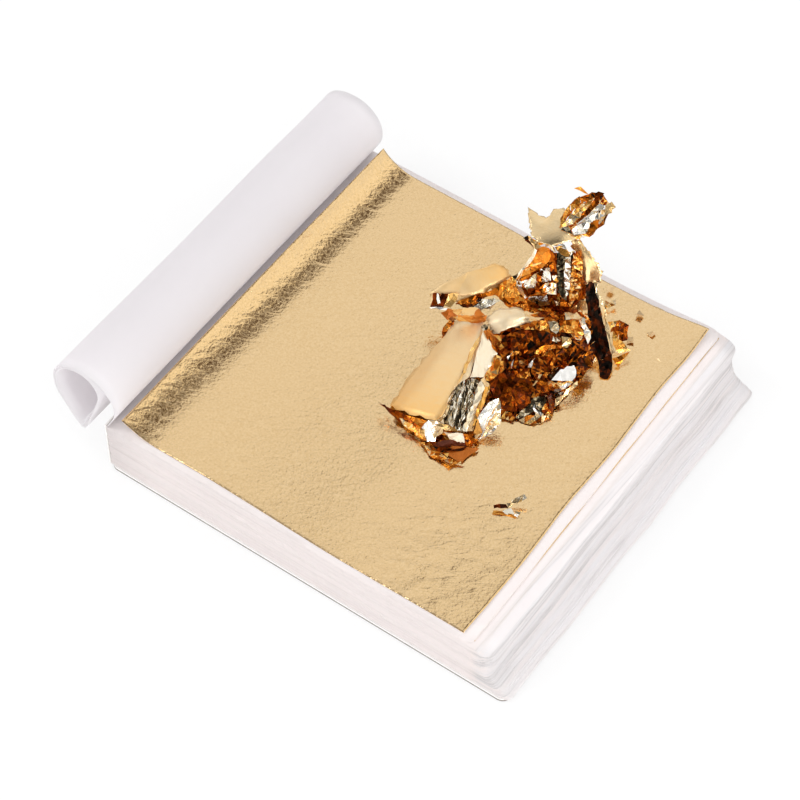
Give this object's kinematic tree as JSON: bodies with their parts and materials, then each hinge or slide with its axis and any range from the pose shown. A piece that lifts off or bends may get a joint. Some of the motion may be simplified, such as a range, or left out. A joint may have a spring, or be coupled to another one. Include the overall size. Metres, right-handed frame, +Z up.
{
  "type": "gold leaf booklet",
  "caption": "Booklet of loose gold leaf between bound tissue leaves, its top tissue rolled back off the open leaf, with a heap of torn and crumpled leaf on it",
  "frame": {"origin": "middle of the back cover's underside", "axes": "X from the spine to the fore-edge, Y along the spine away from the front, Z up"},
  "size_m": [0.106, 0.0897, 0.0346],
  "materials": {
    "card": "thin uncoated card",
    "glue": "dried white padding glue",
    "tissue": "thin translucent white tissue",
    "gold_leaf": "satin, finely crackled",
    "crumpled_gold_leaf": "bright, creased and torn"
  },
  "bodies": {
    "booklet": {"back_cover": "card", "binding_glue": "glue"},
    "rolled_leaf": {"rolled_tissue_leaf": "tissue"},
    "leaf_01": {"tissue_leaf_01": "tissue", "foil_leaf_01": "gold_leaf"},
    "leaf_02": {"tissue_leaf_02": "tissue", "foil_leaf_02": "gold_leaf"},
    "leaf_03": {"tissue_leaf_03": "tissue", "foil_leaf_03": "gold_leaf"},
    "leaf_04": {"tissue_leaf_04": "tissue", "foil_leaf_04": "gold_leaf"},
    "leaf_05": {"tissue_leaf_05": "tissue", "foil_leaf_05": "gold_leaf"},
    "leaf_06": {"tissue_leaf_06": "tissue", "foil_leaf_06": "gold_leaf"},
    "leaf_07": {"tissue_leaf_07": "tissue", "foil_leaf_07": "gold_leaf"},
    "leaf_08": {"tissue_leaf_08": "tissue", "foil_leaf_08": "gold_leaf"},
    "leaf_09": {"tissue_leaf_09": "tissue", "foil_leaf_09": "gold_leaf"},
    "leaf_10": {"tissue_leaf_10": "tissue", "foil_leaf_10": "gold_leaf"},
    "leaf_11": {"tissue_leaf_11": "tissue", "foil_leaf_11": "gold_leaf"},
    "leaf_12": {"tissue_leaf_12": "tissue", "foil_leaf_12": "gold_leaf"},
    "leaf_13": {"tissue_leaf_13": "tissue", "foil_leaf_13": "gold_leaf"},
    "leaf_14": {"tissue_leaf_14": "tissue", "foil_leaf_14": "gold_leaf"},
    "leaf_15": {"tissue_leaf_15": "tissue", "foil_leaf_15": "gold_leaf"},
    "leaf_16": {"tissue_leaf_16": "tissue", "foil_leaf_16": "gold_leaf"},
    "leaf_17": {"tissue_leaf_17": "tissue", "foil_leaf_17": "gold_leaf"},
    "leaf_18": {"tissue_leaf_18": "tissue", "foil_leaf_18": "gold_leaf"},
    "leaf_19": {"tissue_leaf_19": "tissue", "foil_leaf_19": "gold_leaf"},
    "leaf_20": {"tissue_leaf_20": "tissue", "foil_leaf_20": "gold_leaf"},
    "leaf_21": {"tissue_leaf_21": "tissue", "foil_leaf_21": "gold_leaf"},
    "leaf_22": {"tissue_leaf_22": "tissue", "foil_leaf_22": "gold_leaf"},
    "leaf_23": {"tissue_leaf_23": "tissue", "foil_leaf_23": "gold_leaf"},
    "leaf_24": {"tissue_leaf_24": "tissue"},
    "open_foil": {"open_foil_leaf": "gold_leaf", "leaf_crumbs": "crumpled_gold_leaf"},
    "torn_front": {"torn_leaf_front": "crumpled_gold_leaf"},
    "torn_left": {"torn_leaf_left": "crumpled_gold_leaf"},
    "torn_curl": {"torn_leaf_curl": "crumpled_gold_leaf"},
    "torn_middle": {"torn_leaf_middle": "crumpled_gold_leaf"},
    "torn_tall": {"torn_leaf_tall": "crumpled_gold_leaf"},
    "torn_knot": {"torn_leaf_knot": "crumpled_gold_leaf"},
    "torn_right": {"torn_leaf_right": "crumpled_gold_leaf"},
    "flake_front": {"leaf_flake_front": "crumpled_gold_leaf"}
  },
  "joints": [
    {"name": "leaf_fan", "type": "hinge", "parent": "booklet", "child": "rolled_leaf", "pos_m": [-0.04645, 0, 0.01292], "axis": [0, -1, 0], "range_deg": [0, 40]},
    {"name": "leaf_turn_01", "type": "hinge", "parent": "booklet", "child": "leaf_01", "pos_m": [-0.04645, 0, 0.00102], "axis": [0, -1, 0], "range_deg": [0, 1.6]},
    {"name": "leaf_turn_02", "type": "hinge", "parent": "booklet", "child": "leaf_02", "pos_m": [-0.04645, 0, 0.00152], "axis": [0, -1, 0], "range_deg": [0, 3.2]},
    {"name": "leaf_turn_03", "type": "hinge", "parent": "booklet", "child": "leaf_03", "pos_m": [-0.04645, 0, 0.00202], "axis": [0, -1, 0], "range_deg": [0, 4.8]},
    {"name": "leaf_turn_04", "type": "hinge", "parent": "booklet", "child": "leaf_04", "pos_m": [-0.04645, 0, 0.00252], "axis": [0, -1, 0], "range_deg": [0, 6.4]},
    {"name": "leaf_turn_05", "type": "hinge", "parent": "booklet", "child": "leaf_05", "pos_m": [-0.04645, 0, 0.00302], "axis": [0, -1, 0], "range_deg": [0, 8]},
    {"name": "leaf_turn_06", "type": "hinge", "parent": "booklet", "child": "leaf_06", "pos_m": [-0.04645, 0, 0.00352], "axis": [0, -1, 0], "range_deg": [0, 9.6]},
    {"name": "leaf_turn_07", "type": "hinge", "parent": "booklet", "child": "leaf_07", "pos_m": [-0.04645, 0, 0.00402], "axis": [0, -1, 0], "range_deg": [0, 11.2]},
    {"name": "leaf_turn_08", "type": "hinge", "parent": "booklet", "child": "leaf_08", "pos_m": [-0.04645, 0, 0.00452], "axis": [0, -1, 0], "range_deg": [0, 12.8]},
    {"name": "leaf_turn_09", "type": "hinge", "parent": "booklet", "child": "leaf_09", "pos_m": [-0.04645, 0, 0.00502], "axis": [0, -1, 0], "range_deg": [0, 14.4]},
    {"name": "leaf_turn_10", "type": "hinge", "parent": "booklet", "child": "leaf_10", "pos_m": [-0.04645, 0, 0.00552], "axis": [0, -1, 0], "range_deg": [0, 16]},
    {"name": "leaf_turn_11", "type": "hinge", "parent": "booklet", "child": "leaf_11", "pos_m": [-0.04645, 0, 0.00602], "axis": [0, -1, 0], "range_deg": [0, 17.6]},
    {"name": "leaf_turn_12", "type": "hinge", "parent": "booklet", "child": "leaf_12", "pos_m": [-0.04645, 0, 0.00652], "axis": [0, -1, 0], "range_deg": [0, 19.2]},
    {"name": "leaf_turn_13", "type": "hinge", "parent": "booklet", "child": "leaf_13", "pos_m": [-0.04645, 0, 0.00702], "axis": [0, -1, 0], "range_deg": [0, 20.8]},
    {"name": "leaf_turn_14", "type": "hinge", "parent": "booklet", "child": "leaf_14", "pos_m": [-0.04645, 0, 0.00752], "axis": [0, -1, 0], "range_deg": [0, 22.4]},
    {"name": "leaf_turn_15", "type": "hinge", "parent": "booklet", "child": "leaf_15", "pos_m": [-0.04645, 0, 0.00802], "axis": [0, -1, 0], "range_deg": [0, 24]},
    {"name": "leaf_turn_16", "type": "hinge", "parent": "booklet", "child": "leaf_16", "pos_m": [-0.04645, 0, 0.00852], "axis": [0, -1, 0], "range_deg": [0, 25.6]},
    {"name": "leaf_turn_17", "type": "hinge", "parent": "booklet", "child": "leaf_17", "pos_m": [-0.04645, 0, 0.00902], "axis": [0, -1, 0], "range_deg": [0, 27.2]},
    {"name": "leaf_turn_18", "type": "hinge", "parent": "booklet", "child": "leaf_18", "pos_m": [-0.04645, 0, 0.00952], "axis": [0, -1, 0], "range_deg": [0, 28.8]},
    {"name": "leaf_turn_19", "type": "hinge", "parent": "booklet", "child": "leaf_19", "pos_m": [-0.04645, 0, 0.01002], "axis": [0, -1, 0], "range_deg": [0, 30.4]},
    {"name": "leaf_turn_20", "type": "hinge", "parent": "booklet", "child": "leaf_20", "pos_m": [-0.04645, 0, 0.01052], "axis": [0, -1, 0], "range_deg": [0, 32]},
    {"name": "leaf_turn_21", "type": "hinge", "parent": "booklet", "child": "leaf_21", "pos_m": [-0.04645, 0, 0.01102], "axis": [0, -1, 0], "range_deg": [0, 33.6]},
    {"name": "leaf_turn_22", "type": "hinge", "parent": "booklet", "child": "leaf_22", "pos_m": [-0.04645, 0, 0.01152], "axis": [0, -1, 0], "range_deg": [0, 35.2]},
    {"name": "leaf_turn_23", "type": "hinge", "parent": "booklet", "child": "leaf_23", "pos_m": [-0.04645, 0, 0.01202], "axis": [0, -1, 0], "range_deg": [0, 36.8]},
    {"name": "leaf_turn_24", "type": "hinge", "parent": "booklet", "child": "leaf_24", "pos_m": [-0.04645, 0, 0.01252], "axis": [0, -1, 0], "range_deg": [0, 38.4]},
    {"name": "lift_open_foil", "type": "slide", "parent": "leaf_24", "child": "open_foil", "axis": [0, 0, 1], "range_m": [0, 0.03]},
    {"name": "lift_torn_front", "type": "slide", "parent": "open_foil", "child": "torn_front", "axis": [0, 0, 1], "range_m": [0, 0.025]},
    {"name": "lift_torn_left", "type": "slide", "parent": "open_foil", "child": "torn_left", "axis": [0, 0, 1], "range_m": [0, 0.025]},
    {"name": "lift_torn_curl", "type": "slide", "parent": "torn_left", "child": "torn_curl", "axis": [0, 0, 1], "range_m": [0, 0.025]},
    {"name": "lift_torn_middle", "type": "slide", "parent": "open_foil", "child": "torn_middle", "axis": [0, 0, 1], "range_m": [0, 0.025]},
    {"name": "lift_torn_tall", "type": "slide", "parent": "open_foil", "child": "torn_tall", "axis": [0, 0, 1], "range_m": [0, 0.025]},
    {"name": "lift_torn_knot", "type": "slide", "parent": "torn_tall", "child": "torn_knot", "axis": [0, 0, 1], "range_m": [0, 0.025]},
    {"name": "lift_torn_right", "type": "slide", "parent": "open_foil", "child": "torn_right", "axis": [0, 0, 1], "range_m": [0, 0.025]},
    {"name": "lift_flake_front", "type": "slide", "parent": "open_foil", "child": "flake_front", "axis": [0, 0, 1], "range_m": [0, 0.025]}
  ],
  "couplings": [
    {"joint": "leaf_turn_01", "follows": "leaf_fan", "ratio": 0.04},
    {"joint": "leaf_turn_02", "follows": "leaf_fan", "ratio": 0.08},
    {"joint": "leaf_turn_03", "follows": "leaf_fan", "ratio": 0.12},
    {"joint": "leaf_turn_04", "follows": "leaf_fan", "ratio": 0.16},
    {"joint": "leaf_turn_05", "follows": "leaf_fan", "ratio": 0.2},
    {"joint": "leaf_turn_06", "follows": "leaf_fan", "ratio": 0.24},
    {"joint": "leaf_turn_07", "follows": "leaf_fan", "ratio": 0.28},
    {"joint": "leaf_turn_08", "follows": "leaf_fan", "ratio": 0.32},
    {"joint": "leaf_turn_09", "follows": "leaf_fan", "ratio": 0.36},
    {"joint": "leaf_turn_10", "follows": "leaf_fan", "ratio": 0.4},
    {"joint": "leaf_turn_11", "follows": "leaf_fan", "ratio": 0.44},
    {"joint": "leaf_turn_12", "follows": "leaf_fan", "ratio": 0.48},
    {"joint": "leaf_turn_13", "follows": "leaf_fan", "ratio": 0.52},
    {"joint": "leaf_turn_14", "follows": "leaf_fan", "ratio": 0.56},
    {"joint": "leaf_turn_15", "follows": "leaf_fan", "ratio": 0.6},
    {"joint": "leaf_turn_16", "follows": "leaf_fan", "ratio": 0.64},
    {"joint": "leaf_turn_17", "follows": "leaf_fan", "ratio": 0.68},
    {"joint": "leaf_turn_18", "follows": "leaf_fan", "ratio": 0.72},
    {"joint": "leaf_turn_19", "follows": "leaf_fan", "ratio": 0.76},
    {"joint": "leaf_turn_20", "follows": "leaf_fan", "ratio": 0.8},
    {"joint": "leaf_turn_21", "follows": "leaf_fan", "ratio": 0.84},
    {"joint": "leaf_turn_22", "follows": "leaf_fan", "ratio": 0.88},
    {"joint": "leaf_turn_23", "follows": "leaf_fan", "ratio": 0.92},
    {"joint": "leaf_turn_24", "follows": "leaf_fan", "ratio": 0.96}
  ]
}
